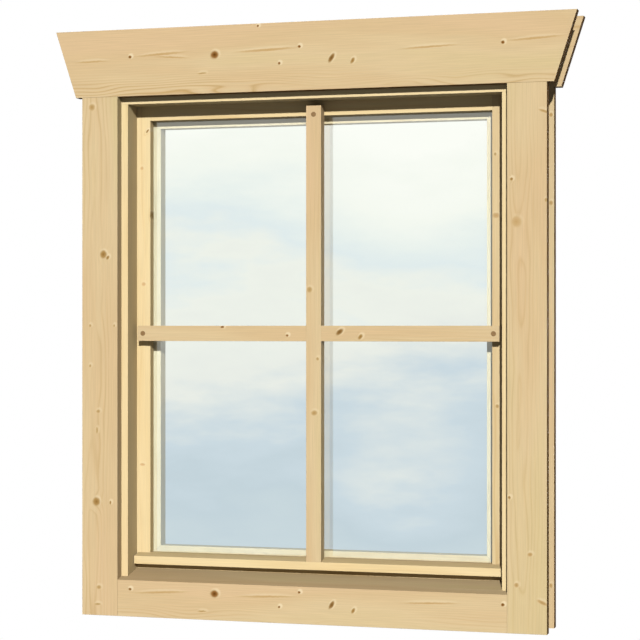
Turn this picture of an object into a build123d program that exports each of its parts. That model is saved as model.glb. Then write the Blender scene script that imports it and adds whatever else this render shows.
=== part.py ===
"""Wooden casement window for a log cabin.

Two sets of casing boards clamp the log wall between them. Inside them sits a rebated frame with a sloped sill,
and in its rebate an inward-opening sash with one pane, inside beads, a drip bar and a planted cross of bars.
The origin is the middle of the frame sill's underside, at the middle of the wall. X runs to the right seen from
outdoors, Y runs into the room and Z runs up. All sizes are in millimetres.
"""
import math
import os

from build123d import *

os.makedirs("parts", exist_ok=True)

# Wall and the clear opening between the casing boards
wall_thickness = 45.0
opening_width = 579.5
opening_height = 709.4

# Casing boards
casing_thickness = 16.0
side_casing_width = 55.8
sill_casing_height = 53.3
head_casing_height = 98.2
head_overhang = 10.0  # past the side boards at the head board's lower edge
head_flare = 31.8  # what each end of the head board gains towards its top
casing_lap = 17.0  # cover of the boards over the frame
eased_edge = 0.5  # rounding of the boards' outer edges

# Frame
frame_margin = 10.1  # frame that shows inside the casing, and the depth of the sash rebate
rebate_length = 8.0  # sash rebate, measured through the wall
sill_slope = 12.9  # degrees
frame_tenon = 12.0
frame_tenon_setback = 12.5  # from the outdoor face of the frame to the tenon

# Sash
sash_clearance = 2.5
sash_margin = 21.1  # sash that shows inside the frame at the top and the sides
bottom_margin = 23.3  # sash that shows above the sill
lip_thickness = 13.8  # wood in front of the glass
sash_tenon = 10.0  # its room side is in line with the glass rebate
glass_rebate = 8.0
glass_thickness = 4.0
glass_clearance = 2.0
bead_depth = 20.0
bead_reach = 10.7  # bead that shows past the sash, behind the glass
bottom_bead_reach = 9.2

# Glazing bars and drip bar
bar_width = 22.5
bar_thickness = 17.5  # the drip bar stands out as far, so their faces are flush
bar_end_gap = 7.5
drip_end_gap = 2.0
drip_face = 11.7
drip_slope = 12.4  # degrees
groove_width = 4.0
groove_depth = 3.0
groove_setback = 4.0

# Hinges, cranked to step from the casing board out to the sash
hinge_length = 64.0
hinge_inset = 110.0  # from the sash's ends to the middle of a hinge
leaf_width = 24.0
leaf_thickness = 2.0
knuckle_diameter = 8.0
hinge_pin_diameter = 4.0
hinge_play = 0.15
knuckle_gap = 0.5

# Handle
rose_width = 19.0
rose_height = 62.0
rose_thickness = 8.0
neck_diameter = 11.0
neck_length = 14.0
lever_length = 96.0
lever_width = 16.0
lever_tip_width = 12.0
lever_thickness = 10.0
lever_rounding = 2.5

# Depths through the wall, from outdoors to indoors
wall_outer_y = -wall_thickness / 2
wall_inner_y = wall_thickness / 2
casing_front_y = wall_outer_y - casing_thickness
casing_back_y = wall_inner_y + casing_thickness
sash_front_y = wall_inner_y - rebate_length
glass_front_y = sash_front_y + lip_thickness
bead_front_y = glass_front_y + glass_thickness
sash_back_y = bead_front_y + bead_depth
bar_front_y = sash_front_y - bar_thickness

# Half widths, outwards from the daylight
casing_x = opening_width / 2
casing_outer_x = casing_x + side_casing_width
frame_outer_x = casing_x + casing_lap
reveal_x = casing_x - frame_margin
sash_outer_x = casing_x - sash_clearance
lip_x = reveal_x - sash_margin
rebate_x = lip_x + glass_rebate
daylight_x = lip_x - bead_reach

# Heights from the frame sill's underside
sill_rise = math.tan(math.radians(sill_slope))


def sill_height(y):
    """Height of the one sloped plane that the sill board and the frame sill share."""
    return casing_lap + (y - casing_front_y) * sill_rise


casing_bottom_z = casing_lap - sill_casing_height
head_z = casing_lap + opening_height
casing_top_z = head_z + head_casing_height
frame_top_z = head_z + casing_lap
reveal_top_z = head_z - frame_margin
sill_top_z = sill_height(sash_front_y)
rebate_floor_z = sill_top_z - frame_margin
sash_bottom_z = rebate_floor_z + sash_clearance
sash_top_z = head_z - sash_clearance
lip_bottom_z = sill_top_z + bottom_margin
lip_top_z = reveal_top_z - sash_margin
rebate_bottom_z = lip_bottom_z - glass_rebate
rebate_top_z = lip_top_z + glass_rebate
daylight_bottom_z = lip_bottom_z + bottom_bead_reach
daylight_top_z = lip_top_z - bead_reach
drip_front_top_z = lip_bottom_z - bar_thickness * math.tan(math.radians(drip_slope))
drip_bottom_z = drip_front_top_z - drip_face
bar_top_z = reveal_top_z - bar_end_gap
cross_z = (drip_front_top_z + bar_top_z) / 2

SIDES = (("left", -1), ("right", 1))


def save(builder, name):
    """Label a finished piece and write it as a STEP file of its own."""
    builder.part.label = name
    export_step(builder.part, f"parts/{name}.step")


def facing_outdoors(y):
    """Plane at depth y that looks outdoors, with X to its right and Z up."""
    return Plane.XZ.offset(-y)


# Head boards of both casings, flared towards the top
for place, back_y, show in (("outer", wall_outer_y, 0), ("inner", casing_back_y, -1)):
    with BuildPart() as head_casing:
        with BuildSketch(facing_outdoors(back_y)):
            with BuildLine():
                Polyline(
                    (-casing_outer_x - head_overhang, head_z),
                    (casing_outer_x + head_overhang, head_z),
                    (casing_outer_x + head_overhang + head_flare, casing_top_z),
                    (-casing_outer_x - head_overhang - head_flare, casing_top_z),
                    close=True,
                )
            make_face()
        extrude(amount=casing_thickness)
        fillet(head_casing.faces().sort_by(Axis.Y)[show].edges(), eased_edge)
    save(head_casing, f"{place}_head_casing")

# Side boards of both casings, which run from the bottom up to the head board
for place, back_y, show in (("outer", wall_outer_y, 0), ("inner", casing_back_y, -1)):
    for side, sign in SIDES:
        with BuildPart() as side_casing:
            with BuildSketch(facing_outdoors(back_y)):
                with Locations((sign * (casing_x + casing_outer_x) / 2, (casing_bottom_z + head_z) / 2)):
                    Rectangle(side_casing_width, head_z - casing_bottom_z)
            extrude(amount=casing_thickness)
            fillet(side_casing.faces().sort_by(Axis.Y)[show].edges(), eased_edge)
        save(side_casing, f"{place}_{side}_casing")

# Outer sill board, between the side boards, with its top bevelled in line with the frame sill
with BuildPart() as outer_sill_casing:
    with BuildSketch(Plane.YZ):
        with BuildLine():
            Polyline(
                (casing_front_y, casing_bottom_z),
                (wall_outer_y, casing_bottom_z),
                (wall_outer_y, sill_height(wall_outer_y)),
                (casing_front_y, casing_lap),
                close=True,
            )
        make_face()
    extrude(amount=casing_x, both=True)
    fillet(outer_sill_casing.faces().sort_by(Axis.Y)[0].edges(), eased_edge)
save(outer_sill_casing, "outer_sill_casing")

# Inner sill board, level with the floor of the sash rebate
with BuildPart() as inner_sill_casing:
    with BuildSketch(facing_outdoors(casing_back_y)):
        with Locations((0, (casing_bottom_z + rebate_floor_z) / 2)):
            Rectangle(2 * casing_x, rebate_floor_z - casing_bottom_z)
    extrude(amount=casing_thickness)
    fillet(inner_sill_casing.faces().sort_by(Axis.Y)[-1].edges(), eased_edge)
save(inner_sill_casing, "inner_sill_casing")

# Open mortises for the jamb tenons, at both ends of the frame's head and sill and cut right through them
with BuildPart() as frame_mortises:
    with BuildSketch(Plane.XY):
        for _, sign in SIDES:
            with Locations(
                (sign * (reveal_x + frame_outer_x) / 2, wall_outer_y + frame_tenon_setback + frame_tenon / 2)
            ):
                Rectangle(frame_outer_x - reveal_x, frame_tenon)
    extrude(amount=frame_top_z)

# Frame sill: sloped on top, with a step down behind the slope where the sash stands
with BuildPart() as frame_sill:
    with BuildSketch(Plane.YZ):
        with BuildLine():
            Polyline(
                (wall_outer_y, 0),
                (wall_inner_y, 0),
                (wall_inner_y, rebate_floor_z),
                (sash_front_y, rebate_floor_z),
                (sash_front_y, sill_top_z),
                (wall_outer_y, sill_height(wall_outer_y)),
                close=True,
            )
        make_face()
    extrude(amount=frame_outer_x, both=True)
    add(frame_mortises.part, mode=Mode.SUBTRACT)
save(frame_sill, "frame_sill")

with BuildPart() as frame_head:
    with BuildSketch(Plane.YZ):
        with BuildLine():
            Polyline(
                (wall_outer_y, reveal_top_z),
                (sash_front_y, reveal_top_z),
                (sash_front_y, head_z),
                (wall_inner_y, head_z),
                (wall_inner_y, frame_top_z),
                (wall_outer_y, frame_top_z),
                close=True,
            )
        make_face()
    extrude(amount=frame_outer_x, both=True)
    add(frame_mortises.part, mode=Mode.SUBTRACT)
save(frame_head, "frame_head")

# Jambs: a rebated section over the full height, scribed to the sloped sill and the head, with their tenons left on
for side, sign in SIDES:
    with BuildPart() as frame_jamb:
        with BuildSketch(Plane.XY):
            with BuildLine():
                Polyline(
                    (sign * reveal_x, wall_outer_y),
                    (sign * frame_outer_x, wall_outer_y),
                    (sign * frame_outer_x, wall_inner_y),
                    (sign * casing_x, wall_inner_y),
                    (sign * casing_x, sash_front_y),
                    (sign * reveal_x, sash_front_y),
                    close=True,
                )
            make_face()
        extrude(amount=frame_top_z)
        add(frame_sill.part, mode=Mode.SUBTRACT)
        add(frame_head.part, mode=Mode.SUBTRACT)
    save(frame_jamb, f"frame_{side}_jamb")

# Sash stiles over the full height, with open mortises for the rails' tenons
stiles = []
for side, sign in SIDES:
    with BuildPart() as sash_stile:
        with BuildSketch(Plane.XY.offset(sash_bottom_z)):
            with BuildLine():
                Polyline(
                    (sign * lip_x, sash_front_y),
                    (sign * sash_outer_x, sash_front_y),
                    (sign * sash_outer_x, sash_back_y),
                    (sign * rebate_x, sash_back_y),
                    (sign * rebate_x, glass_front_y),
                    (sign * lip_x, glass_front_y),
                    close=True,
                )
            make_face()
        extrude(amount=sash_top_z - sash_bottom_z)
        with BuildSketch(facing_outdoors(glass_front_y)):
            for low_z, high_z in ((sash_bottom_z, lip_bottom_z), (lip_top_z, sash_top_z)):
                with Locations((sign * (lip_x + sash_outer_x) / 2, (low_z + high_z) / 2)):
                    Rectangle(sash_outer_x - lip_x, high_z - low_z)
        extrude(amount=sash_tenon, mode=Mode.SUBTRACT)
    save(sash_stile, f"sash_{side}_stile")
    stiles.append(sash_stile.part)

# Sash rails, cut back to stepped shoulders against the stiles, with tenons that pass through them
for name, edge_z, lip_z, seat_z in (
    ("sash_top_rail", sash_top_z, lip_top_z, rebate_top_z),
    ("sash_bottom_rail", sash_bottom_z, lip_bottom_z, rebate_bottom_z),
):
    with BuildPart() as sash_rail:
        with BuildSketch(Plane.YZ):
            with BuildLine():
                Polyline(
                    (sash_front_y, edge_z),
                    (sash_back_y, edge_z),
                    (sash_back_y, seat_z),
                    (glass_front_y, seat_z),
                    (glass_front_y, lip_z),
                    (sash_front_y, lip_z),
                    close=True,
                )
            make_face()
        extrude(amount=sash_outer_x, both=True)
        for stile in stiles:
            add(stile, mode=Mode.SUBTRACT)
    save(sash_rail, name)

with BuildPart() as glass_pane:
    with BuildSketch(facing_outdoors(bead_front_y)):
        with Locations((0, (rebate_bottom_z + rebate_top_z) / 2)):
            Rectangle(2 * (rebate_x - glass_clearance), rebate_top_z - rebate_bottom_z - 2 * glass_clearance)
    extrude(amount=glass_thickness)
save(glass_pane, "glass_pane")

# Beads behind the glass, mitred from the corners of the rebate to the corners of the daylight
seat = {
    "bottom_left": (-rebate_x, rebate_bottom_z),
    "bottom_right": (rebate_x, rebate_bottom_z),
    "top_right": (rebate_x, rebate_top_z),
    "top_left": (-rebate_x, rebate_top_z),
}
sight = {
    "bottom_left": (-daylight_x, daylight_bottom_z),
    "bottom_right": (daylight_x, daylight_bottom_z),
    "top_right": (daylight_x, daylight_top_z),
    "top_left": (-daylight_x, daylight_top_z),
}
for side, start, end in (
    ("bottom", "bottom_left", "bottom_right"),
    ("right", "bottom_right", "top_right"),
    ("top", "top_right", "top_left"),
    ("left", "top_left", "bottom_left"),
):
    with BuildPart() as bead:
        with BuildSketch(facing_outdoors(sash_back_y)):
            with BuildLine():
                Polyline(seat[start], seat[end], sight[end], sight[start], close=True)
            make_face()
        extrude(amount=bead_depth)
    save(bead, f"{side}_bead")

# Drip bar on the bottom rail, with a groove under it that breaks the run of water
with BuildPart() as drip_bar:
    with BuildSketch(Plane.YZ):
        with BuildLine():
            Polyline(
                (sash_front_y, lip_bottom_z),
                (bar_front_y, drip_front_top_z),
                (bar_front_y, drip_bottom_z),
                (bar_front_y + groove_setback, drip_bottom_z),
                (bar_front_y + groove_setback, drip_bottom_z + groove_depth),
                (bar_front_y + groove_setback + groove_width, drip_bottom_z + groove_depth),
                (bar_front_y + groove_setback + groove_width, drip_bottom_z),
                (sash_front_y, drip_bottom_z),
                close=True,
            )
        make_face()
    extrude(amount=reveal_x - drip_end_gap, both=True)
save(drip_bar, "drip_bar")

# Glazing bars, halved into each other: the upright keeps its front half, the crossbar its back half
with BuildPart() as vertical_glazing_bar:
    with BuildSketch(facing_outdoors(sash_front_y)):
        with Locations((0, (drip_front_top_z + bar_top_z) / 2)):
            Rectangle(bar_width, bar_top_z - drip_front_top_z)
    extrude(amount=bar_thickness)
    with BuildSketch(facing_outdoors(sash_front_y)):
        with Locations((0, cross_z)):
            Rectangle(bar_width, bar_width)
    extrude(amount=bar_thickness / 2, mode=Mode.SUBTRACT)
    add(drip_bar.part, mode=Mode.SUBTRACT)
save(vertical_glazing_bar, "vertical_glazing_bar")

with BuildPart() as horizontal_glazing_bar:
    with BuildSketch(facing_outdoors(sash_front_y)):
        with Locations((0, cross_z)):
            Rectangle(2 * (reveal_x - bar_end_gap), bar_width)
    extrude(amount=bar_thickness)
    with BuildSketch(facing_outdoors(bar_front_y + bar_thickness / 2)):
        with Locations((0, cross_z)):
            Rectangle(bar_width, bar_width)
    extrude(amount=bar_thickness / 2, mode=Mode.SUBTRACT)
save(horizontal_glazing_bar, "horizontal_glazing_bar")

# Lift-off hinges on the room side: the lower knuckle and the pin stay on the casing, the upper one lifts with the sash
knuckle_x = sash_outer_x + knuckle_gap + knuckle_diameter / 2
knuckle_y = sash_back_y + leaf_thickness / 2
web_x = knuckle_x + knuckle_diameter / 2 - leaf_thickness
for place, hinge_z in (("lower", sash_bottom_z + hinge_inset), ("upper", sash_top_z - hinge_inset)):
    hinge_bottom_z = hinge_z - hinge_length / 2
    knuckle_length = (hinge_length - knuckle_gap) / 2
    with BuildPart() as casing_leaf:
        with BuildSketch(Plane.XY.offset(hinge_bottom_z)):
            with Locations((web_x + leaf_width / 2, casing_back_y + leaf_thickness / 2)):
                Rectangle(leaf_width, leaf_thickness)
        extrude(amount=hinge_length)
        with BuildSketch(Plane.XY.offset(hinge_bottom_z)):
            with Locations((web_x + leaf_thickness / 2, (casing_back_y + knuckle_y) / 2)):
                Rectangle(leaf_thickness, knuckle_y - casing_back_y)
            with Locations((knuckle_x, knuckle_y)):
                Circle(knuckle_diameter / 2)
        extrude(amount=knuckle_length)
        with BuildSketch(Plane.XY.offset(hinge_bottom_z)):
            with Locations((knuckle_x, knuckle_y)):
                Circle(hinge_pin_diameter / 2)
        extrude(amount=hinge_length)
    save(casing_leaf, f"{place}_hinge_casing_leaf")
    with BuildPart() as sash_leaf:
        with BuildSketch(Plane.XY.offset(hinge_bottom_z)):
            with Locations((sash_outer_x - leaf_width / 2, knuckle_y)):
                Rectangle(leaf_width, leaf_thickness)
        extrude(amount=hinge_length)
        with BuildSketch(Plane.XY.offset(hinge_bottom_z + hinge_length - knuckle_length)):
            with Locations(((sash_outer_x + knuckle_x) / 2, knuckle_y)):
                Rectangle(knuckle_x - sash_outer_x, leaf_thickness)
            with Locations((knuckle_x, knuckle_y)):
                Circle(knuckle_diameter / 2)
                Circle(hinge_pin_diameter / 2 + hinge_play, mode=Mode.SUBTRACT)
        extrude(amount=knuckle_length)
    save(sash_leaf, f"{place}_hinge_sash_leaf")

# Lever handle on the stile that swings free, pointing down as it does when the sash is shut
handle_x = -(rebate_x + sash_outer_x) / 2
handle_z = (sash_bottom_z + sash_top_z) / 2
with BuildPart() as handle_rose:
    with BuildSketch(facing_outdoors(sash_back_y + rose_thickness)):
        with Locations((handle_x, handle_z)):
            SlotOverall(rose_height, rose_width, rotation=90)
    extrude(amount=rose_thickness)
    fillet(handle_rose.faces().sort_by(Axis.Y)[-1].edges(), lever_rounding)
save(handle_rose, "handle_rose")

lever_y = sash_back_y + rose_thickness + neck_length
with BuildPart() as handle_lever:
    with BuildSketch(facing_outdoors(lever_y + lever_thickness)):
        with Locations((handle_x, handle_z)):
            Circle(lever_width / 2)
        with Locations((handle_x, handle_z - lever_length)):
            Circle(lever_tip_width / 2)
        make_hull()
    extrude(amount=lever_thickness)
    fillet(handle_lever.faces().filter_by(Axis.Y).edges(), lever_rounding)
    with BuildSketch(facing_outdoors(lever_y)):
        with Locations((handle_x, handle_z)):
            Circle(neck_diameter / 2)
    extrude(amount=neck_length)
save(handle_lever, "handle_lever")
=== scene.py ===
import math

import bmesh
import bpy
from mathutils import Matrix, Vector


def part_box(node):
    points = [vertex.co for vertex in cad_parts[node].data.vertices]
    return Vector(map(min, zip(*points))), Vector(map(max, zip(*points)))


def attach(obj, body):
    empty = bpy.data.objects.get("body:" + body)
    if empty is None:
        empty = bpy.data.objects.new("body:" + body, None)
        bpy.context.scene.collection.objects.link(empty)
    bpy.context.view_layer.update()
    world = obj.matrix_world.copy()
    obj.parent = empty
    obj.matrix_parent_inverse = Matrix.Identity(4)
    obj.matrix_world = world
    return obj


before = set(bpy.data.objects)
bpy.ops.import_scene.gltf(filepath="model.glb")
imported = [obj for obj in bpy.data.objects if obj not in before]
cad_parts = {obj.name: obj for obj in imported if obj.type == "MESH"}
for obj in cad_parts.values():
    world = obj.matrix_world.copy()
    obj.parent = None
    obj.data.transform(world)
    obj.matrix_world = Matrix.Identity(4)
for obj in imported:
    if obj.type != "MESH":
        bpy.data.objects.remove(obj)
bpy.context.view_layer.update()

MM = 0.001
OUTDOORS = Vector((0, -1, 0))
INDOORS = Vector((0, 1, 0))
SIDEWAYS = Vector((1, 0, 0))
WHITE = "#FFFFFF"


def linear(code):
    """An sRGB hex value, such as #DEC394, as a linear colour."""
    parts = [int(code[i:i + 2], 16) / 255 for i in (1, 3, 5)]
    return [p / 12.92 if p <= 0.04045 else ((p + 0.055) / 1.055) ** 2.4 for p in parts] + [1.0]


def add(tree, kind, inputs=None, **settings):
    """A shader node with its settings. Each input takes a value, another node or one of its outputs."""
    made = tree.nodes.new("ShaderNode" + kind)
    for name, value in settings.items():
        setattr(made, name, value)
    for name, value in (inputs or {}).items():
        if isinstance(value, bpy.types.Node):
            value = value.outputs[0]
        if isinstance(value, bpy.types.NodeSocket):
            tree.links.new(value, made.inputs[name])
        else:
            made.inputs[name].default_value = value
    return made


def millimetres(tree):
    """Where a spot lies on the piece, in mm."""
    return add(tree, "VectorMath", {0: add(tree, "TexCoord").outputs["Object"], "Scale": 1 / MM}, operation="SCALE")


def blank_material(name):
    """A new material, its node tree and its shader."""
    made = bpy.data.materials.new(name)
    made.use_nodes = True
    return made, made.node_tree, made.node_tree.nodes["Principled BSDF"]


def tones(ramp, stops):
    """Set a colour ramp's stops from places and hex colours."""
    points = ramp.color_ramp.elements
    while len(points) < len(stops):
        points.new(1.0)
    for point, (place, code) in zip(points, stops):
        point.position = place
        point.color = linear(code)


# Planed pine. The planer leaves a flat, dull, silky face, on which the year rings show as long pale and
# tan lines, closing to pointed arches where the saw ran along a ring. Knots are brown, with pale wood beside
# them, and push the rings aside.
YEAR_RING = 3.2  # mm from ring to ring
FIBRE_WIDTH = 1.6  # mm, coarser than real fibres so that they show in the render
FIBRE_STRETCH = 40  # how much longer than wide a fibre streak is
TRUNK_WANDER = 8.0  # mm that the pith strays from a straight line
WANDER_LENGTH = 110.0  # mm across the grain from one bend of the pith to the next
STRETCH = 7  # how much longer along the grain the bends and patches are
RIPPLE_LENGTH = 26.0  # mm across the grain from one short wave of the rings to the next
RIPPLE_STRETCH = 5
CLOUDING = 60.0  # mm, patches of a slightly other tone
RING_PATCH = 45.0  # mm, stretches where the rings show more or less
RING_LEAST = 0.1  # how strongly the rings show where they show least
FIGURE_REACH = (10.0, 34.0)  # mm from the pith's line, where the wide arches end and the rings fade into fine lines
FINE_LINES = 0.18  # how strongly those fine lines show beside the arches
FIBRE_SHADES = (0.95, 1.05)  # dark and pale fibres beside the wood's own tone
SILKY = (0.52, 0.68)  # roughness of a planed face
FIBRE_RELIEF = 0.2  # mm
KNOT_GNARL = 5.0  # mm from one dent in a knot's outline to the next
KNOT_RAGGED = 1.4  # mm that a knot's outline strays from a true ellipse
KNOT_PUSH = 0.9  # rings that a knot pushes aside
PUSH_FADE = (3.5, 0.6)  # that push fades in between these reaches, where 1.0 is the knot's rim
PALE_FADE = (1.1, 0.5)  # so does the pale wood beside a knot
CORE_FADE = (1.35, 0.7)  # and the knot's own brown
SIDE_FACE_TONE_AND_SHADE = "#E7E6E4"  # tints every face that turns away from the front and back a little darker: partly the sawn edges' own tone, partly painted shade on the planed reveals and edges
RIGHT_AND_UNDER_SHADE = "#8A7353"  # painted shade: a darker tint on right-hand edges and ends and on the undersides of some boards
EDGE_TURN = (0.4, 0.9)  # how far a face turns away before it counts as an edge
BOUNCE = 0.42  # share of the light that pale boards throw on each other, held down as the dark reveals show it

# Tones from sallow to blushing, then the late wood's and the pale wood's beside a knot
PINE_TONES = {
    "knotty": ("#DDC795", "#E2C99C", "#DEC193", "#E2C397", "#C6A269", "#F4E0B8"),
    "tan": ("#E6D09B", "#E9D1A2", "#E5C998", "#E9C99D", "#D0AC70", "#F7E4BC"),
    "clear": ("#F6DFA7", "#F8E0AD", "#F4D9A2", "#F6D6A6", "#E2BE7F", "#FDEBC4"),
    "bead": ("#FFF6D0", "#FFF8D6", "#FEF3CA", "#FFF2D0", "#F4E1AE", "#FFFAE0"),
}
KNOT_TONES = {
    "dark": ((0.0, "#5F3B18"), (0.4, "#8A5C2B"), (0.8, "#A87D49"), (1.0, "#BE9862")),
    "slanting": ((0.0, "#79552A"), (0.5, "#94703F"), (1.0, "#B48F59")),
    "sound": ((0.0, "#96703C"), (0.5, "#AE894F"), (1.0, "#C19E67")),
    "faint": ((0.0, "#B8945C"), (0.6, "#C8A670"), (1.0, "#D4B583")),
    "trace": ((0.0, "#DDB37C"), (1.0, "#EBC993")),
    "streak": ((0.0, "#CAA46C"), (1.0, "#D7B887")),
}
# How pale the wood beside each kind is
PALE_SIDE = {"dark": 0.8, "slanting": 0.7, "sound": 0.6, "faint": 0.35, "trace": 0.2, "streak": 0.3}
PALE_MARGIN = 2.6  # mm that the pale wood reaches beyond a knot
PALE_SHIFT = (1.6, 1.4)  # mm along and across, so that it shows more on one side


def knot_reach(tree, spot, knots, margin=0.0, shift=(0.0, 0.0)):
    """How far a spot lies from the nearest knot, 1.0 at its rim. margin and shift make it the pale wood's rim."""
    nearest = None
    for along, across, half_length, half_width, turn in knots:
        inside = add(tree, "Mapping", {
            "Vector": spot,
            "Location": (along + shift[0] + KNOT_RAGGED / 2, across + shift[1] + KNOT_RAGGED / 2, 0),
            "Rotation": (0, 0, math.radians(turn)),
            "Scale": (half_length + margin, half_width + margin, 1e6),
        }, vector_type="TEXTURE")
        reach = add(tree, "VectorMath", {0: inside}, operation="LENGTH").outputs["Value"]
        if nearest:
            reach = add(tree, "Math", {0: nearest, 1: reach}, operation="MINIMUM").outputs[0]
        nearest = reach
    return nearest


def planed_pine(name, wood, grain, pith, knots=None, edge_shade=SIDE_FACE_TONE_AND_SHADE):
    """Pine with its grain along X or Z. pith is where the trunk's middle ran, across the board and in depth, how it
    leans, how high its short waves are and how strongly its rings show. Knots are (along, across, half length,
    half width, turn), in mm and degrees. edge_shade is the painted shade on right-hand faces and undersides."""
    made, tree, shader = blank_material(name)
    sallow, early, middle, blush, late, pale = PINE_TONES[wood]
    spot = millimetres(tree)
    axes = add(tree, "SeparateXYZ", {0: spot})
    across = "Z" if grain == "X" else "X"
    board = add(tree, "CombineXYZ", {0: axes.outputs[grain], 1: axes.outputs[across], 2: axes.outputs["Y"]})
    drawn_out = add(tree, "VectorMath", {0: board, 1: (1 / STRETCH, 1, 1)}, operation="MULTIPLY")

    # Year rings, counted outwards from the pith
    wander = add(tree, "TexNoise", {"Vector": drawn_out, "Scale": 1 / WANDER_LENGTH, "Detail": 1.0})
    ripple = add(tree, "VectorMath", {0: board, 1: (1 / RIPPLE_STRETCH, 1, 1)}, operation="MULTIPLY")
    ripple = add(tree, "TexNoise", {"Vector": ripple, "Scale": 1 / RIPPLE_LENGTH, "Detail": 1.0})
    pith_across, pith_depth, lean, waves, figure = pith
    trunk = add(tree, "Mapping", {
        "Vector": board,
        "Location": (0, -pith_across, -pith_depth),
        "Rotation": (0, math.radians(lean), 0),
    })
    trunk = add(tree, "VectorMath", {0: wander.outputs["Color"], 1: (0, TRUNK_WANDER, TRUNK_WANDER), 2: trunk},
                operation="MULTIPLY_ADD")
    trunk = add(tree, "VectorMath", {0: ripple.outputs["Color"], 1: (0, 0, waves), 2: trunk},
                operation="MULTIPLY_ADD")
    trunk = add(tree, "VectorMath", {0: trunk, 1: (0, 1, 1)}, operation="MULTIPLY")
    beside = add(tree, "Math", {0: add(tree, "SeparateXYZ", {0: trunk}).outputs["Y"]}, operation="ABSOLUTE")
    trunk = add(tree, "VectorMath", {0: trunk}, operation="LENGTH")
    rings = add(tree, "Math", {0: trunk.outputs["Value"], 1: YEAR_RING}, operation="DIVIDE")

    # Knots with ragged rims push the rings aside
    ragged = add(tree, "TexNoise", {"Vector": board, "Scale": 1 / KNOT_GNARL, "Detail": 1.0})
    ragged = add(tree, "VectorMath", {0: ragged.outputs["Color"], 1: (KNOT_RAGGED,) * 3, 2: board},
                 operation="MULTIPLY_ADD")
    reaches = {kind: knot_reach(tree, ragged, spots) for kind, spots in (knots or {}).items()}
    for kind, reach in reaches.items():
        if kind in ("dark", "slanting", "sound"):
            push = add(tree, "MapRange", {0: reach, 1: PUSH_FADE[0], 2: PUSH_FADE[1], 3: 0.0, 4: KNOT_PUSH},
                       interpolation_type="SMOOTHSTEP")
            rings = add(tree, "Math", {0: rings, 1: push}, operation="ADD")
    ring = add(tree, "Math", {0: rings}, operation="FRACT")
    ring_tone = add(tree, "ValToRGB", {0: ring})
    tones(ring_tone, ((0.0, middle), (0.3, early), (0.66, middle), (0.88, late), (1.0, middle)))

    # Slow changes of tone along the board, rings that come and go, and fibre streaks
    clouds = add(tree, "TexNoise", {"Vector": drawn_out, "Scale": 1 / CLOUDING, "Detail": 2.0})
    calm = add(tree, "ValToRGB", {0: clouds})
    tones(calm, ((0.3, sallow), (0.45, early), (0.57, middle), (0.7, blush)))
    patches = add(tree, "TexNoise", {"Vector": drawn_out, "Scale": 1 / RING_PATCH, "Detail": 2.0})
    patches = add(tree, "MapRange", {0: patches, 1: 0.35, 2: 0.65, 3: RING_LEAST, 4: figure},
                  interpolation_type="SMOOTHSTEP")
    near, far = FIGURE_REACH
    fading = add(tree, "MapRange", {0: beside, 1: near, 2: far, 3: 1.0, 4: FINE_LINES},
                 interpolation_type="SMOOTHSTEP")
    patches = add(tree, "Math", {0: patches, 1: fading}, operation="MULTIPLY")
    colour = add(tree, "Mix", {0: patches, 6: calm, 7: ring_tone}, data_type="RGBA")
    fibres = add(tree, "VectorMath", {0: board, 1: (1 / FIBRE_STRETCH, 1, 1)}, operation="MULTIPLY")
    fibres = add(tree, "TexNoise", {"Vector": fibres, "Scale": 1 / FIBRE_WIDTH, "Detail": 3.0, "Roughness": 0.6})
    fibre_tone = add(tree, "MapRange", {0: fibres, 1: 0.3, 2: 0.7, 3: FIBRE_SHADES[0], 4: FIBRE_SHADES[1]})
    colour = add(tree, "VectorMath", {0: colour.outputs[2], "Scale": fibre_tone}, operation="SCALE").outputs[0]

    # Pale wood beside each knot, then the knot
    for kind, reach in reaches.items():
        beyond = knot_reach(tree, ragged, knots[kind], PALE_MARGIN, PALE_SHIFT)
        beyond = add(tree, "MapRange", {0: beyond, 1: PALE_FADE[0], 2: PALE_FADE[1], 3: 0.0, 4: PALE_SIDE[kind]},
                     interpolation_type="SMOOTHSTEP")
        colour = add(tree, "Mix", {0: beyond, 6: colour, 7: linear(pale)}, data_type="RGBA").outputs[2]
        knot_tone = add(tree, "ValToRGB", {0: reach})
        tones(knot_tone, KNOT_TONES[kind])
        core = add(tree, "MapRange", {0: reach, 1: CORE_FADE[0], 2: CORE_FADE[1], 3: 0.0, 4: 1.0},
                   interpolation_type="SMOOTHSTEP")
        colour = add(tree, "Mix", {0: core, 6: colour, 7: knot_tone}, data_type="RGBA").outputs[2]

    # Painted shade: faces turned sideways a little darker, right-hand faces and undersides darker still; and the light
    # that the wood throws on other wood
    facing = add(tree, "SeparateXYZ", {0: add(tree, "NewGeometry").outputs["Normal"]})
    below = add(tree, "Math", {0: facing.outputs["Z"], 1: -1.0}, operation="MULTIPLY")
    right_or_below = add(tree, "Math", {0: facing.outputs["X"], 1: below}, operation="MAXIMUM")
    right_or_below = add(tree, "MapRange", {0: right_or_below, 1: EDGE_TURN[0], 2: EDGE_TURN[1]})
    # painted shade: right-hand faces and undersides take the darker tint
    tint = add(tree, "Mix", {0: right_or_below, 6: linear(SIDE_FACE_TONE_AND_SHADE), 7: linear(edge_shade)}, data_type="RGBA").outputs[2]
    # painted shade: faces turned sideways keep the darker tint, while front and back faces stay untinted
    planed = add(tree, "Math", {0: facing.outputs["Y"]}, operation="ABSOLUTE")
    planed = add(tree, "MapRange", {0: planed, 1: EDGE_TURN[0], 2: EDGE_TURN[1]})
    tint = add(tree, "Mix", {0: planed, 6: tint, 7: linear(WHITE)}, data_type="RGBA").outputs[2]
    colour = add(tree, "VectorMath", {0: colour, 1: tint}, operation="MULTIPLY").outputs[0]
    bounced = add(tree, "MapRange", {0: add(tree, "LightPath").outputs["Is Diffuse Ray"], 3: 1.0, 4: BOUNCE})
    colour = add(tree, "VectorMath", {0: colour, "Scale": bounced}, operation="SCALE").outputs[0]

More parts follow.
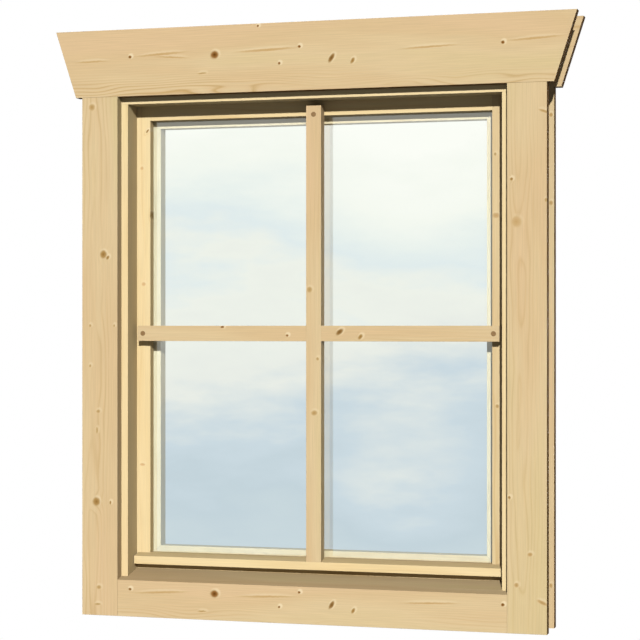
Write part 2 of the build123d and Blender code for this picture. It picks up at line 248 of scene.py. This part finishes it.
    relief = add(tree, "Bump", {"Height": fibres, "Strength": 0.25, "Distance": FIBRE_RELIEF * MM})
    rough = add(tree, "MapRange", {0: fibres, 3: SILKY[0], 4: SILKY[1]})
    tree.links.new(colour, shader.inputs["Base Color"])
    tree.links.new(rough.outputs[0], shader.inputs["Roughness"])
    tree.links.new(relief.outputs[0], shader.inputs["Normal"])
    shader.inputs["IOR"].default_value = 1.4
    shader.inputs["Specular IOR Level"].default_value = 0.01
    return made


def dress(node, material):
    """Put one material on a CAD node."""
    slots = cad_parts[node].data.materials
    slots.clear()
    slots.append(material)


# Boards of the outer casing, each with the knots that it shows
HEAD_KNOTS = {
    "streak": ((-222, 786, 40.0, 1.8, 3), (-206, 781, 26.0, 1.3, -4), (-60, 786, 44.0, 1.8, 2),
               (330, 787, 38.0, 1.7, 3), (-330, 779, 26.0, 1.4, 1), (180, 781, 40.0, 1.4, 2)),
    "dark": ((-270, 784, 2.4, 2.2, 0), (-139, 782, 6.2, 5.8, 0), (-73, 821, 1.8, 1.8, 0), (-11, 789, 2.2, 2.0, 0),
             (-41, 766, 1.9, 1.9, 0), (284, 783, 2.6, 2.4, 0)),
    "slanting": ((37, 771, 7.0, 3.0, 58),),
    "sound": ((68, 766, 4.6, 2.4, 58),),
    "faint": ((-158, 756, 7.0, 1.3, 3),),
}
LEFT_KNOTS = {
    "sound": ((495, -312, 5.8, 5.0, 0), (490, -305, 3.2, 2.2, 30), (131, -323, 6.2, 5.6, 0), (130, -301, 2.6, 1.4, 0)),
    "faint": ((712, -330, 5.0, 4.6, 0), (390, -333, 2.4, 1.8, 0), (390, -295, 2.0, 1.4, 0), (331, -333, 2.2, 1.8, 0),
              (264, -320, 2.6, 3.2, 0), (236, -322, 5.0, 1.6, 0), (5, -319, 3.0, 3.8, 0), (-20, -321, 1.8, 5.0, 0)),
}
RIGHT_KNOTS = {
    "sound": ((593, 296, 2.2, 2.0, 0), (152, 293, 2.0, 1.8, 0)),
    "faint": ((563, 344, 3.0, 1.8, 0), (686, 341, 2.0, 7.0, 20), (74, 322, 2.6, 3.4, 0), (31, 303, 3.4, 3.0, 0),
              (8, 339, 2.4, 8.0, 25)),
    "streak": ((534, 303, 8.0, 7.4, 0),),
}
SILL_KNOTS = {
    "streak": ((-222, 1, 40.0, 1.8, 3), (-60, 1, 44.0, 1.6, 2), (180, 1, 40.0, 1.4, 2)),
    "dark": ((-270, 4, 2.2, 2.0, 0), (-139, 2, 6.0, 5.4, 0), (-11, 9, 2.0, 1.8, 0), (-41, -13, 1.8, 1.8, 0),
             (284, 3, 2.4, 2.2, 0)),
    "slanting": ((37, -7, 6.4, 2.8, 58),),
    "sound": ((69, -14, 4.2, 2.2, 58),),
    "faint": ((-158, -24, 7.0, 1.3, 3),),
}
CROSS_BAR_KNOTS = {
    "dark": ((-40, 376, 2.0, 1.8, 0), (-139, 388, 2.6, 1.6, 0)),
    "slanting": ((39, 381, 6.2, 3.2, 40),),
    "sound": ((70, 374, 4.2, 2.6, 50),),
}
UPRIGHT_BAR_KNOTS = {"faint": ((442, -6, 4.2, 4.0, 0), (342, 6, 2.6, 2.2, 0), (264, 1, 3.6, 4.6, 0))}
LEFT_STILE_KNOTS = {
    "sound": ((680, -263, 3.4, 1.5, 40), (555, -257, 7.0, 2.0, 0)),
    "trace": ((625, -272, 2.6, 2.4, 0), (452, -269, 3.0, 3.0, 0), (183, -271, 2.0, 4.4, 0)),
}
RIGHT_STILE_KNOTS = {
    "faint": ((633, 263, 2.4, 1.8, 0), (276, 266, 2.6, 2.6, 0)),
    "streak": ((546, 264, 4.0, 5.0, 0),),
}
INNER_HEAD_KNOTS = {"sound": ((-210, 770, 5.0, 4.6, 0), (96, 792, 2.4, 2.2, 0), (248, 752, 3.4, 3.0, 0))}
INNER_SILL_KNOTS = {"sound": ((-96, -10, 4.2, 3.8, 0), (176, -20, 2.0, 1.8, 0))}
INNER_LEFT_KNOTS = {"sound": ((590, -318, 3.4, 3.2, 0), (214, -308, 5.0, 4.6, 0), (40, -326, 2.2, 2.0, 0))}
INNER_RIGHT_KNOTS = {
    "sound": ((402, 310, 4.6, 4.4, 0), (176, 326, 2.6, 2.4, 0)),
    "faint": ((687, 341, 3.0, 2.6, 0), (563, 341, 3.2, 2.8, 0), (24, 341, 3.4, 2.6, 0)),
}

# Each board is cut from a trunk of its own. Rows give the wood's tones, its grain, its pith, its knots and the painted
# shade on its right-hand faces and undersides.
for board, wood, grain, pith, knots, edge_shade in (
    ("outer_head_casing", "knotty", "X", (729, -8, 0.25, 28, 0.9), HEAD_KNOTS, RIGHT_AND_UNDER_SHADE),
    ("outer_sill_casing", "knotty", "X", (-36, -8, -0.25, 24, 0.8), SILL_KNOTS, SIDE_FACE_TONE_AND_SHADE),
    ("outer_left_casing", "knotty", "Z", (-322, -6, 0.5, 12, 0.55), LEFT_KNOTS, SIDE_FACE_TONE_AND_SHADE),
    ("outer_right_casing", "knotty", "Z", (314, -6, -0.5, 12, 0.35), RIGHT_KNOTS, RIGHT_AND_UNDER_SHADE),
    ("inner_head_casing", "knotty", "X", (800, -50, 0.4, 4, 0.6), INNER_HEAD_KNOTS, RIGHT_AND_UNDER_SHADE),
    ("inner_sill_casing", "knotty", "X", (10, -44, -0.3, 4, 0.6), INNER_SILL_KNOTS, SIDE_FACE_TONE_AND_SHADE),
    ("inner_left_casing", "knotty", "Z", (-322, -46, 0.3, 4, 0.6), INNER_LEFT_KNOTS, SIDE_FACE_TONE_AND_SHADE),
    ("inner_right_casing", "knotty", "Z", (310, -40, -0.3, 4, 0.6), INNER_RIGHT_KNOTS, RIGHT_AND_UNDER_SHADE),
    ("horizontal_glazing_bar", "knotty", "X", (350, 40, 0.3, 4, 0.6), CROSS_BAR_KNOTS, SIDE_FACE_TONE_AND_SHADE),
    ("vertical_glazing_bar", "knotty", "Z", (40, 60, 0.3, 4, 0.6), UPRIGHT_BAR_KNOTS, SIDE_FACE_TONE_AND_SHADE),
    ("frame_sill", "knotty", "X", (20, 60, 0.3, 4, 0.6), None, SIDE_FACE_TONE_AND_SHADE),
    ("frame_head", "clear", "X", (760, 90, 0.3, 4, 0.6), None, SIDE_FACE_TONE_AND_SHADE),
    ("frame_left_jamb", "clear", "Z", (-270, 90, 0.3, 4, 0.6), None, SIDE_FACE_TONE_AND_SHADE),
    ("frame_right_jamb", "clear", "Z", (300, 90, -0.3, 4, 0.6), None, SIDE_FACE_TONE_AND_SHADE),
    ("sash_top_rail", "clear", "X", (690, 90, 0.3, 4, 0.6), None, SIDE_FACE_TONE_AND_SHADE),
    ("sash_bottom_rail", "clear", "X", (30, 90, 0.3, 4, 0.6), None, SIDE_FACE_TONE_AND_SHADE),
    ("drip_bar", "clear", "X", (60, 90, -0.3, 4, 0.6), None, SIDE_FACE_TONE_AND_SHADE),
    ("sash_left_stile", "clear", "Z", (-250, 90, 0.3, 4, 0.6), LEFT_STILE_KNOTS, SIDE_FACE_TONE_AND_SHADE),
    ("sash_right_stile", "tan", "Z", (280, 90, -0.3, 4, 0.6), RIGHT_STILE_KNOTS, SIDE_FACE_TONE_AND_SHADE),
    ("top_bead", "bead", "X", (690, 120, 0.3, 4, 0.6), None, SIDE_FACE_TONE_AND_SHADE),
    ("bottom_bead", "bead", "X", (60, 120, 0.3, 4, 0.6), None, SIDE_FACE_TONE_AND_SHADE),
    ("left_bead", "bead", "Z", (-250, 120, 0.3, 4, 0.6), None, SIDE_FACE_TONE_AND_SHADE),
    ("right_bead", "bead", "Z", (250, 120, 0.3, 4, 0.6), None, SIDE_FACE_TONE_AND_SHADE),
):
    dress(board, planed_pine(f"planed_{wood}_pine_{board}", wood, grain, pith, knots, edge_shade))

# Float glass: clear and flat but for a faint roll, so that it shows the sky behind it and mirrors the bars in front.
# Lamps shine through it onto the beads.
ROLL_WAVE = 90.0  # mm from wave to wave
ROLL_HEIGHT = 0.5  # mm, softened by the bump's low strength
GLASS_IOR = 2.5  # raised from 1.5 until one pane mirrors as strongly as the photograph's does
glass, tree, shader = blank_material("float_glass_polished")
spot = millimetres(tree)
roll = add(tree, "TexNoise", {"Vector": spot, "Scale": 1 / ROLL_WAVE, "Detail": 1.0})
wave = add(tree, "Bump", {"Height": roll, "Strength": 0.05, "Distance": ROLL_HEIGHT * MM})
tree.links.new(wave.outputs[0], shader.inputs["Normal"])
shader.inputs["Base Color"].default_value = linear("#FDFFFE")
shader.inputs["Roughness"].default_value = 0.0
shader.inputs["IOR"].default_value = GLASS_IOR
shader.inputs["Transmission Weight"].default_value = 1.0
clear = add(tree, "BsdfTransparent", {"Color": linear(WHITE)})
rays = add(tree, "LightPath")
through = add(tree, "MixShader", {0: rays.outputs["Is Diffuse Ray"], 1: shader.outputs[0], 2: clear})
through = add(tree, "MixShader", {0: rays.outputs["Is Shadow Ray"], 1: through, 2: clear})
tree.links.new(through.outputs[0], tree.nodes["Material Output"].inputs["Surface"])
dress("glass_pane", glass)


PLATING_RELIEF = 0.1  # mm


def metal(name, code, dull, bright, grit, stretch, bare=1.0):
    """A metal with dull and bright patches of a size in mm, drawn out along Z. bare is 0.0 under a lacquer."""
    made, tree, shader = blank_material(name)
    spot = millimetres(tree)
    spot = add(tree, "VectorMath", {0: spot, 1: (1, 1, 1 / stretch)}, operation="MULTIPLY")
    grain = add(tree, "TexNoise", {"Vector": spot, "Scale": 1 / grit, "Detail": 3.0})
    gloss = add(tree, "MapRange", {0: grain, 1: 0.3, 2: 0.7, 3: bright, 4: dull})
    shade = add(tree, "MapRange", {0: grain, 1: 0.3, 2: 0.7, 3: 0.9, 4: 1.05})
    colour = add(tree, "VectorMath", {0: linear(code)[:3], "Scale": shade}, operation="SCALE")
    relief = add(tree, "Bump", {"Height": grain, "Strength": 0.2, "Distance": PLATING_RELIEF * MM})
    tree.links.new(colour.outputs[0], shader.inputs["Base Color"])
    tree.links.new(gloss.outputs[0], shader.inputs["Roughness"])
    tree.links.new(relief.outputs[0], shader.inputs["Normal"])
    shader.inputs["Metallic"].default_value = bare
    return made


# Zinc plate is a bluish grey with cloudy patches; anodised aluminium is paler, with fine brush lines along the lever;
# screws dipped in brown lacquer are dull and hardly mirror.
zinc = metal("zinc_plated_steel_barrel_plated", "#B9BEC2", 0.5, 0.3, 2.5, 1)
aluminium = metal("anodised_aluminium_brushed", "#C9CACB", 0.45, 0.3, 0.8, 30)
lacquered = metal("brown_lacquered_steel_dipped", "#957346", 0.7, 0.55, 1.0, 1, bare=0.0)
for leaf in ("casing_leaf", "sash_leaf"):
    dress(f"upper_hinge_{leaf}", zinc)
    dress(f"lower_hinge_{leaf}", zinc)
for part in ("handle_rose", "handle_lever"):
    dress(part, aluminium)

# Arrises are eased as a pass of sandpaper leaves them
ARRIS = 0.3 * MM
SHARP = math.radians(35)
SAME_SPOT = 0.01 * MM  # corners closer than this are one
PLANED_PIECES = (
    "frame_head", "frame_sill", "frame_left_jamb", "frame_right_jamb", "sash_top_rail", "sash_bottom_rail",
    "sash_left_stile", "sash_right_stile", "drip_bar", "vertical_glazing_bar", "horizontal_glazing_bar",
    "top_bead", "bottom_bead", "left_bead", "right_bead",
)
for name in PLANED_PIECES:
    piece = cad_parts[name]
    joined = piece.modifiers.new("joined_faces", "WELD")
    joined.merge_threshold = SAME_SPOT
    eased = piece.modifiers.new("eased_arris", "BEVEL")
    eased.width = ARRIS
    eased.segments = 2
    eased.limit_method = "ANGLE"
    eased.angle_limit = SHARP


SCREW_SIDES = 36
PIT_FLOOR = 0.08  # mm that the recess ends above the surface, so that it stays open
PIT_TAPER = 0.7


def screw(name, spot, facing, across, material):
    """A countersunk screw head with a cross recess, its face just proud of the surface at spot (mm)."""
    half = across / 2
    arm, slit = 0.52 * half, 0.15 * half
    cross = [(arm, -slit), (arm, slit), (slit, slit), (slit, arm), (-slit, arm), (-slit, slit),
             (-arm, slit), (-arm, -slit), (-slit, -slit), (-slit, -arm), (slit, -arm), (slit, -slit)]
    turns = [math.tau * step / SCREW_SIDES for step in range(SCREW_SIDES)]
    levels = ((0.55 * half, -0.5 * half), (half, -0.12), (half, 0.15), (0.94 * half, 0.35), (0.7 * half, 0.5))
    mesh = bmesh.new()
    rings = [[mesh.verts.new((r * math.cos(t), r * math.sin(t), z)) for t in turns] for r, z in levels]
    rim = [mesh.verts.new((x, y, levels[-1][1])) for x, y in cross]
    pit = [mesh.verts.new((PIT_TAPER * x, PIT_TAPER * y, PIT_FLOOR)) for x, y in cross]
    for lower, upper in [*zip(rings, rings[1:]), (pit, rim)]:
        for i in range(len(lower)):
            j = (i + 1) % len(lower)
            mesh.faces.new((lower[i], lower[j], upper[j], upper[i]))
    mesh.faces.new(rings[0])
    mesh.faces.new(pit)
    edges = [mesh.edges.get((loop[i - 1], loop[i])) for loop in (rings[-1], rim) for i in range(len(loop))]
    bmesh.ops.triangle_fill(mesh, edges=edges, use_beauty=True)
    bmesh.ops.recalc_face_normals(mesh, faces=mesh.faces)
    turn = facing.to_track_quat("Z", "Y").to_matrix().to_4x4()
    to_place = Matrix.Diagonal((MM, MM, MM, 1)) @ Matrix.Translation(spot) @ turn
    bmesh.ops.transform(mesh, verts=mesh.verts, matrix=to_place)
    data = bpy.data.meshes.new(name)
    mesh.to_mesh(data)
    mesh.free()
    data.materials.append(material)
    piece = bpy.data.objects.new(name, data)
    bpy.context.scene.collection.objects.link(piece)
    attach(piece, "root")
    return piece


# Screws that hold the glazing bars to the sash
BAR_SCREW = 7.4
CROSS_SCREW_INSET = 8.4  # from the bar's end
UPRIGHT_SCREW_INSET = 13.3
bar_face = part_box("horizontal_glazing_bar")[0].y / MM
cross_low, cross_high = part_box("horizontal_glazing_bar")
cross_middle = (cross_low.z + cross_high.z) / 2 / MM
upright_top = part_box("vertical_glazing_bar")[1].z / MM
screw("bar_screw_left", (cross_low.x / MM + CROSS_SCREW_INSET, bar_face, cross_middle), OUTDOORS, BAR_SCREW,
      lacquered)
screw("bar_screw_right", (cross_high.x / MM - CROSS_SCREW_INSET, bar_face, cross_middle), OUTDOORS, BAR_SCREW,
      lacquered)
screw("bar_screw_top", (0, bar_face, upright_top - UPRIGHT_SCREW_INSET), OUTDOORS, BAR_SCREW,
      lacquered)

# Screws in the hinge leaves and in the handle's rose
LEAF_SCREW = 6.4
LEAF_THICKNESS = 2.0
LEAF_WIDTH = 24.0
LEAF_SHIFT = 1  # from the leaf's middle towards the knuckles
LEAF_SCREW_SPOTS = ((-23, 4), (0, -4), (23, 4))  # up the leaf and away from the knuckles
ROSE_SCREW = 6.0
ROSE_SCREW_RISE = 22
for place in ("upper", "lower"):
    low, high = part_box(f"{place}_hinge_casing_leaf")
    casing_x, casing_face = high.x / MM - LEAF_WIDTH / 2 + LEAF_SHIFT, low.y / MM + LEAF_THICKNESS
    low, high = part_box(f"{place}_hinge_sash_leaf")
    sash_x = low.x / MM + LEAF_WIDTH / 2 - LEAF_SHIFT
    sash_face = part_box("sash_right_stile")[1].y / MM + LEAF_THICKNESS
    middle = (low.z + high.z) / 2 / MM
    for number, (rise, aside) in enumerate(LEAF_SCREW_SPOTS, 1):
        screw(f"{place}_casing_leaf_screw_{number}", (casing_x + aside, casing_face, middle + rise), INDOORS,
              LEAF_SCREW, zinc)
        screw(f"{place}_sash_leaf_screw_{number}", (sash_x - aside, sash_face, middle + rise), INDOORS,
              LEAF_SCREW, zinc)
low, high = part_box("handle_rose")
rose_x, rose_z = (low.x + high.x) / 2 / MM, (low.z + high.z) / 2 / MM
for place, rise in (("upper", ROSE_SCREW_RISE), ("lower", -ROSE_SCREW_RISE)):
    screw(f"{place}_rose_screw", (rose_x, high.y / MM, rose_z + rise), INDOORS, ROSE_SCREW, zinc)

# The camera stands a little to the right of the window, level, as the photograph shows
SENSOR = 36.0
LENS = 109.27
YAW = 16.17
RISE = 0.0101  # how far the picture is shifted up, as a share of its width
STAND = (0.7905, -2.6956, 0.3889)
camera_data = bpy.data.cameras.new("camera")
camera_data.sensor_width = SENSOR
camera_data.lens = LENS
camera_data.shift_y = RISE
camera = bpy.data.objects.new("camera", camera_data)
camera.location = STAND
camera.rotation_euler = (math.radians(90), 0, math.radians(YAW))
bpy.context.scene.collection.objects.link(camera)
bpy.context.scene.camera = camera

# The key lamp shines from high on the right. The back lamp shines straight from the room, also on the backs of the
# bars that the pane mirrors, and the side lamp on the left-hand edges. A pale sky lies all round.
KEY_TRAVEL = Vector((-0.285, 1.0, -0.433))
LAMPS = (  # where each one shines, how strongly, and how wide it looks in degrees
    ("key_lamp", KEY_TRAVEL, 3.16, 1.2),
    ("back_lamp", OUTDOORS, 1.7, 3),
    ("side_lamp", SIDEWAYS, 1.2, 3),
)
for name, travel, energy, width in LAMPS:
    lamp_data = bpy.data.lights.new(name, "SUN")
    lamp_data.energy = energy
    lamp_data.angle = math.radians(width)
    lamp = bpy.data.objects.new(name, lamp_data)
    lamp.rotation_euler = travel.to_track_quat("-Z", "Y").to_euler()
    bpy.context.scene.collection.objects.link(lamp)

FILL_LEVEL = 0.08
# Sizes in the sky are sines of the angle seen
CLOUD_WIDTH = 0.07
CLOUD_FLATNESS = 3.0
CLOUD_SWELL = 0.06  # how far clouds push the sky's bands up and down
CLOUD_RAGGED = 5.0  # how much of that swell also frays the banks' outlines
BANK_FADE = (1.2, 0.3)  # a bank fades in between these reaches, where 1.0 is its outline
SKY_HALF = 0.14  # the bands run as far as this above and below the horizon
SKY_TILT = 0.05  # how far the bands sink to the left
SKY_MIDDLE = -0.28  # the X heading at which they lie level with the horizon
SKY_BANDS = (
    (-0.11, "#CAD8DE"), (-0.08, "#C5D4DC"), (-0.056, "#CCDAE2"), (-0.018, "#EAEDE7"), (0.01, "#EFF2EA"),
    (0.034, "#E2ECED"), (0.058, "#EBF2EE"), (0.09, "#F6F9F1"), (0.13, "#FDFEF7"),
)
# Banks of cloud: X and Z heading, half width, half height, and how far they push the bands
CLOUD_BANKS = (
    (-0.234, -0.088, 0.055, 0.036, 0.042), (-0.335, 0.054, 0.045, 0.022, -0.02),
    (-0.225, 0.085, 0.060, 0.055, 0.04), (-0.215, -0.014, 0.040, 0.020, -0.03),
)
world = bpy.data.worlds.new("pale_sky")
bpy.context.scene.world = world
world.use_nodes = True
tree = world.node_tree
rays = add(tree, "LightPath")
heading = add(tree, "SeparateXYZ", {0: add(tree, "TexCoord").outputs["Generated"]})
front_and_back = add(tree, "Math", {0: heading.outputs["Y"]}, operation="ABSOLUTE")
sky_spot = add(tree, "CombineXYZ", {0: heading.outputs["X"], 1: front_and_back, 2: heading.outputs["Z"]})
swell = add(tree, "VectorMath", {0: sky_spot, 1: (1, 1, CLOUD_FLATNESS)}, operation="MULTIPLY")
swell = add(tree, "TexNoise", {"Vector": swell, "Scale": 1 / CLOUD_WIDTH, "Detail": 4.0, "Roughness": 0.55})
swell = add(tree, "MapRange", {0: swell, 3: -CLOUD_SWELL, 4: CLOUD_SWELL})
height = add(tree, "VectorMath", {0: sky_spot, 1: (-SKY_TILT, 0, 1)}, operation="DOT_PRODUCT").outputs["Value"]
height = add(tree, "Math", {0: height, 1: swell}, operation="ADD")
for bank_x, bank_z, half_width, half_height, push in CLOUD_BANKS:
    bank = add(tree, "Mapping", {
        "Vector": sky_spot,
        "Location": (bank_x, 0, bank_z),
        "Scale": (half_width, 1e6, half_height),
    }, vector_type="TEXTURE")
    bank = add(tree, "VectorMath", {0: bank}, operation="LENGTH").outputs["Value"]
    bank = add(tree, "Math", {0: swell, 1: CLOUD_RAGGED, 2: bank}, operation="MULTIPLY_ADD")
    bank = add(tree, "MapRange", {0: bank, 1: BANK_FADE[0], 2: BANK_FADE[1], 3: 0.0, 4: push},
               interpolation_type="SMOOTHSTEP")
    height = add(tree, "Math", {0: height, 1: bank}, operation="ADD")
level = -SKY_TILT * SKY_MIDDLE
height = add(tree, "MapRange", {0: height, 1: level - SKY_HALF, 2: level + SKY_HALF})
sky = add(tree, "ValToRGB", {0: height})
tones(sky, [(0.5 + 0.5 * rise / SKY_HALF, code) for rise, code in SKY_BANDS])
# The sky shows in the glass and in the metal, and behind them all is white. Wood gets only the even fill.
seen = add(tree, "Math", {0: rays.outputs["Is Glossy Ray"], 1: rays.outputs["Is Transmission Ray"]},
           operation="MAXIMUM")
direct = add(tree, "Math", {0: rays.outputs["Diffuse Depth"], 1: 0.5}, operation="LESS_THAN")
seen = add(tree, "Math", {0: seen, 1: direct}, operation="MULTIPLY")
fill = (FILL_LEVEL, FILL_LEVEL, FILL_LEVEL, 1)
around = add(tree, "Mix", {0: seen, 6: fill, 7: sky}, data_type="RGBA")
around = add(tree, "Mix", {0: rays.outputs["Is Camera Ray"], 6: around.outputs[2], 7: linear(WHITE)},
             data_type="RGBA")
tree.links.new(around.outputs[2], tree.nodes["Background"].inputs["Color"])
bpy.context.scene.view_settings.view_transform = "Standard"

# A pale painted floor, well below the window as it hangs in its wall. A roller leaves paint with a faint stipple, and
# the floor shows nearly white to the camera, the glass and the metal.
FLOOR_DROP = 0.95
FLOOR_HALF = 4.0
STIPPLE = 0.04  # m, coarser than a roller's so that it shows from afar
PAINT_SHADES = (0.34, 0.38)
WHITENING = 0.8
floor_data = bpy.data.meshes.new("floor")
corners = [(x * FLOOR_HALF, y * FLOOR_HALF, -FLOOR_DROP) for x, y in ((-1, -1), (1, -1), (1, 1), (-1, 1))]
floor_data.from_pydata(corners, [], [(0, 1, 2, 3)])
floor = bpy.data.objects.new("floor", floor_data)
bpy.context.scene.collection.objects.link(floor)
paint, tree, shader = blank_material("painted_screed_rolled")
spot = add(tree, "TexCoord").outputs["Object"]
stipple = add(tree, "TexNoise", {"Vector": spot, "Scale": 1 / STIPPLE, "Detail": 2.0})
shade = add(tree, "MapRange", {0: stipple, 3: PAINT_SHADES[0], 4: PAINT_SHADES[1]})
tree.links.new(shade.outputs[0], shader.inputs["Base Color"])
shader.inputs["Roughness"].default_value = 0.9
glow = add(tree, "Emission", {"Color": linear(WHITE), "Strength": 1.0})
rays = add(tree, "LightPath")
seen = add(tree, "Math", {0: rays.outputs["Is Camera Ray"], 1: rays.outputs["Is Glossy Ray"]}, operation="MAXIMUM")
seen = add(tree, "Math", {0: seen, 1: rays.outputs["Is Transmission Ray"]}, operation="MAXIMUM")
seen = add(tree, "Math", {0: seen, 1: WHITENING}, operation="MULTIPLY")
direct = add(tree, "Math", {0: rays.outputs["Diffuse Depth"], 1: 0.5}, operation="LESS_THAN")
seen = add(tree, "Math", {0: seen, 1: direct}, operation="MULTIPLY")
whitened = add(tree, "MixShader", {0: seen, 1: shader.outputs[0], 2: glow})
tree.links.new(whitened.outputs[0], tree.nodes["Material Output"].inputs["Surface"])
floor_data.materials.append(paint)
